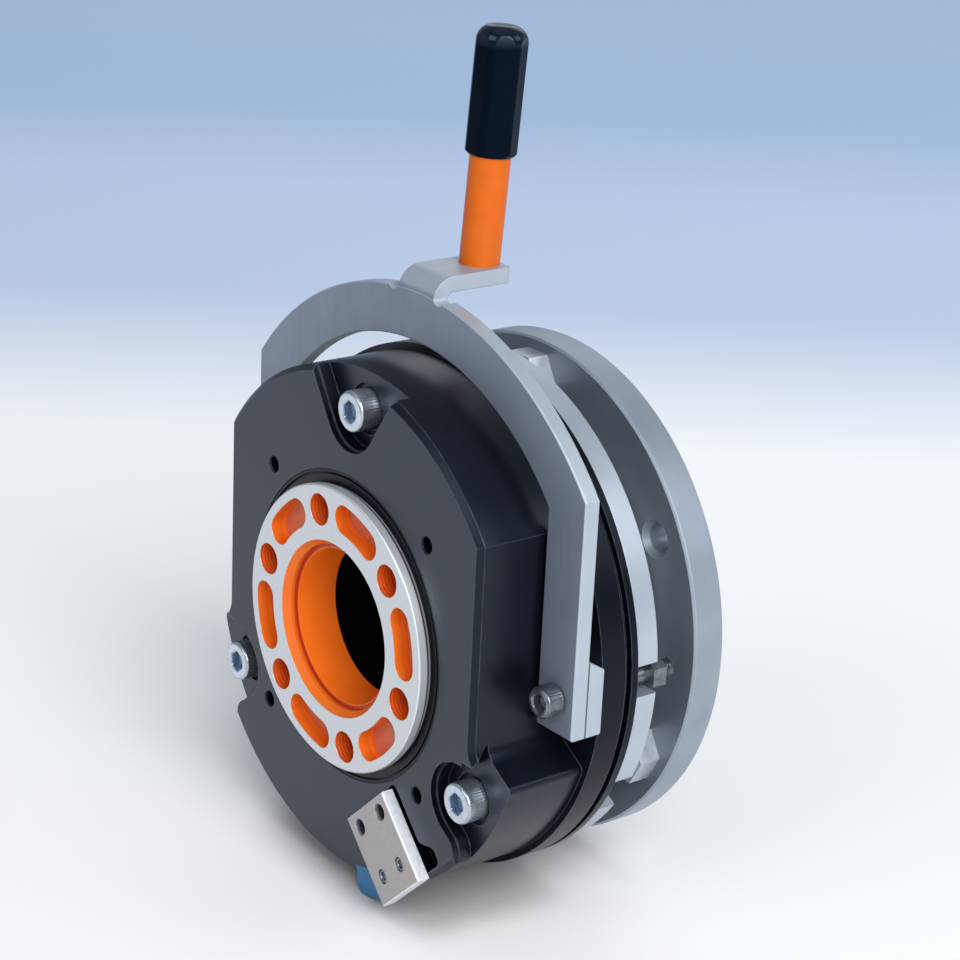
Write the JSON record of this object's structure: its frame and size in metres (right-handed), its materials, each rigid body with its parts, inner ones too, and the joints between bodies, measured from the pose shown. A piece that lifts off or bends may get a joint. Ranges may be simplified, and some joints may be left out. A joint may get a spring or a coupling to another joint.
{
  "type": "spring-applied brake",
  "caption": "Round electromagnetic spring-applied brake with a flanged hub in front, a mounting flange behind and a hand-release bow with a lever on top.",
  "frame": {"origin": "centre of the brake's axis on the rear face of the mounting flange", "axes": "+Y along the brake axis from the hub's face towards the mounting flange, +Z towards the hand-release lever, +X to the right seen from the hub"},
  "size_m": [0.17, 0.0888, 0.2715],
  "materials": {
    "black_body": "satin",
    "bobbin_plastic": "matte",
    "copper_winding": "satin",
    "spring_steel": "satin",
    "flange_steel": "satin",
    "sleeve_steel": "bright",
    "zinc_screws": "bright",
    "rubber_seal": "matte",
    "clamp_aluminium": "satin",
    "blue_rubber": "satin",
    "orange_hub": "satin",
    "black_rubber": "matte",
    "carrier_aluminium": "satin",
    "friction_lining": "matte",
    "armature_steel": "bright",
    "bow_steel": "satin",
    "orange_rod": "gloss",
    "black_grip": "gloss"
  },
  "bodies": {
    "housing": {"magnet_body": "black_body", "coil_bobbin": "bobbin_plastic", "coil_winding": "copper_winding", "brake_springs": "spring_steel", "mounting_flange": "flange_steel", "guide_sleeves": "sleeve_steel", "mounting_screws": "zinc_screws", "front_seal_ring": "rubber_seal", "cable_clamp_plate": "clamp_aluminium", "clamp_screws": "zinc_screws", "lead_grommet": "blue_rubber", "release_springs": "spring_steel"},
    "hub": {"flanged_hub": "orange_hub", "damper_ring": "black_rubber"},
    "rotor": {"rotor_carrier": "carrier_aluminium", "front_lining": "friction_lining", "rear_lining": "friction_lining"},
    "armature": {"armature_plate": "armature_steel", "release_screws": "zinc_screws", "release_nuts": "zinc_screws"},
    "lever": {"release_bow": "bow_steel", "fulcrum_block_left": "bow_steel", "fulcrum_block_right": "bow_steel", "lever_rod": "orange_rod", "lever_grip": "black_grip"}
  },
  "joints": [
    {"name": "lever_pull", "type": "hinge", "parent": "housing", "child": "lever", "pos_m": [0, -0.05035, -0.0106], "axis": [1, 0, 0], "range_deg": [0, 3.1], "deforming": ["release_springs"]},
    {"name": "armature_lift", "type": "slide", "parent": "housing", "child": "armature", "axis": [0, -1, 0], "range_m": [0, 0.00038], "deforming": ["brake_springs"]},
    {"name": "hub_spin", "type": "hinge", "parent": "housing", "child": "hub", "pos_m": [0, 0, 0], "axis": [0, 1, 0], "continuous": true},
    {"name": "rotor_float", "type": "slide", "parent": "hub", "child": "rotor", "axis": [0, -1, 0], "range_m": [0, 0.0002]}
  ],
  "couplings": [
    {"joint": "armature_lift", "follows": "lever_pull", "m_per_rad": 0.0070234},
    {"joint": "rotor_float", "follows": "lever_pull", "m_per_rad": 0.0035117}
  ]
}
